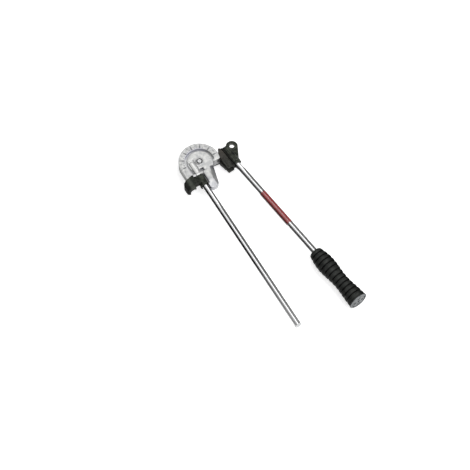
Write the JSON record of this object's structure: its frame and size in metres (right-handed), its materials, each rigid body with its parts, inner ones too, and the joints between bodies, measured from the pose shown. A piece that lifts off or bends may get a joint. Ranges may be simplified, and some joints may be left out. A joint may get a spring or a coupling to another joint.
{
  "type": "tube bender",
  "caption": "Two-handed lever tube bender: grooved cast former with a degree scale, swinging lever with slide shoe and ribbed grip, and a swivelling tube hook.",
  "frame": {"origin": "the bend axis at the mid-plane of the tube", "axes": "+X along the fixed handle to its end, +Y to the side where the lever lies at the end of a bend, +Z out of the face with the scale"},
  "size_m": [0.4455, 0.1762, 0.0376],
  "materials": {
    "cast_alloy": "satin casting",
    "bright_steel": "bright plated",
    "dark_steel": "oiled",
    "bronze": "sintered",
    "black_paint": "semi-matt",
    "shoe_plastic": "moulded, matt",
    "red_label": "film, satin",
    "black_rubber": "moulded, satin",
    "grey_plastic": "moulded, satin"
  },
  "bodies": {
    "former": {"bend_former": "cast_alloy", "pivot_pin": "bright_steel", "thrust_washer": "bronze", "retaining_washer": "bright_steel", "pivot_circlip": "dark_steel", "fixed_handle_tube": "bright_steel", "fixed_roll_pin": "dark_steel", "fixed_end_plug": "grey_plastic", "hook_stop_ring": "black_paint"},
    "lever": {"swing_arm": "black_paint", "arm_bush": "bronze", "arm_screws": "dark_steel", "lever_head": "black_paint", "slide_shoe": "shoe_plastic", "shoe_screws": "dark_steel", "lever_handle_tube": "bright_steel", "lever_roll_pin": "dark_steel", "label_band": "red_label", "lever_grip": "black_rubber", "grip_end_cap": "grey_plastic"},
    "hook": {"tube_hook": "black_paint"}
  },
  "joints": [
    {"name": "lever_swing", "type": "hinge", "parent": "former", "child": "lever", "pos_m": [0, 0, 0], "axis": [0, 0, 1], "range_deg": [-6.75, 173.25]},
    {"name": "hook_swing", "type": "hinge", "parent": "former", "child": "hook", "pos_m": [0.036, -0.0152, 0], "axis": [-1, 0, 0], "range_deg": [0, 90]}
  ]
}
